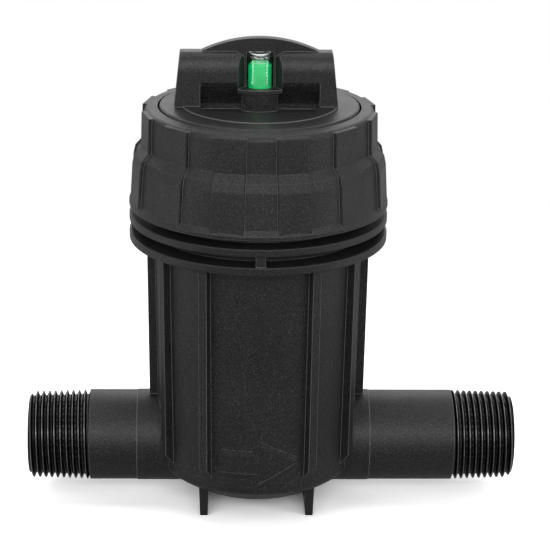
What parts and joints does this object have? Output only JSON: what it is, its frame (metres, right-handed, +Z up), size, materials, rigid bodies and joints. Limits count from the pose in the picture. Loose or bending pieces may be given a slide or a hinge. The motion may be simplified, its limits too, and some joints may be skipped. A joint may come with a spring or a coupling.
{
  "type": "basket filter",
  "caption": "Inline basket filter for a one-inch drip pipe: ribbed bowl with male threaded ports, screw collar, winged cap with a sight indicator, and a lift-out screen basket inside.",
  "frame": {"origin": "the bowl's axis at the plane of the feet", "axes": "+Z up along the bowl's axis, +X along the pipe run in the direction of flow, -Y the front"},
  "size_m": [0.1791, 0.0928, 0.1754],
  "materials": {
    "housing_plastic": "satin black moulded, finely textured",
    "collar_plastic": "satin black moulded, finely textured",
    "cap_plastic": "satin black moulded",
    "inner_plastic": "dark grey moulded",
    "seal_rubber": "black nitrile",
    "lens_clear": "clear moulded plastic",
    "indicator_green": "bright green",
    "indicator_red": "bright red",
    "steel": "stainless"
  },
  "bodies": {
    "housing": {"housing": "housing_plastic"},
    "cap_unit": {"cap": "cap_plastic", "cap_seal": "seal_rubber", "indicator_lens": "lens_clear", "lens_seal": "seal_rubber", "lens_retainer": "inner_plastic", "indicator_retainer": "inner_plastic", "indicator_spring": "steel", "basket_frame": "inner_plastic", "basket_screen": "steel", "basket_seal": "seal_rubber", "socket_seal": "seal_rubber"},
    "lock_collar": {"lock_collar": "collar_plastic"},
    "indicator": {"indicator_stem": "indicator_red", "indicator_green_band": "indicator_green", "piston_seal": "seal_rubber"}
  },
  "joints": [
    {"name": "cap_lift", "type": "slide", "parent": "housing", "child": "cap_unit", "axis": [0, 0, 1], "range_m": [0, 0.12]},
    {"name": "collar_turn", "type": "hinge", "parent": "cap_unit", "child": "lock_collar", "pos_m": [0, 0, 0.13], "axis": [0, 0, 1], "continuous": true},
    {"name": "indicator_rise", "type": "slide", "parent": "cap_unit", "child": "indicator", "axis": [0, 0, 1], "range_m": [0, 0.003], "stiffness_N_per_m": 300, "springref_m": -0.002, "deforming": ["indicator_spring"]}
  ]
}
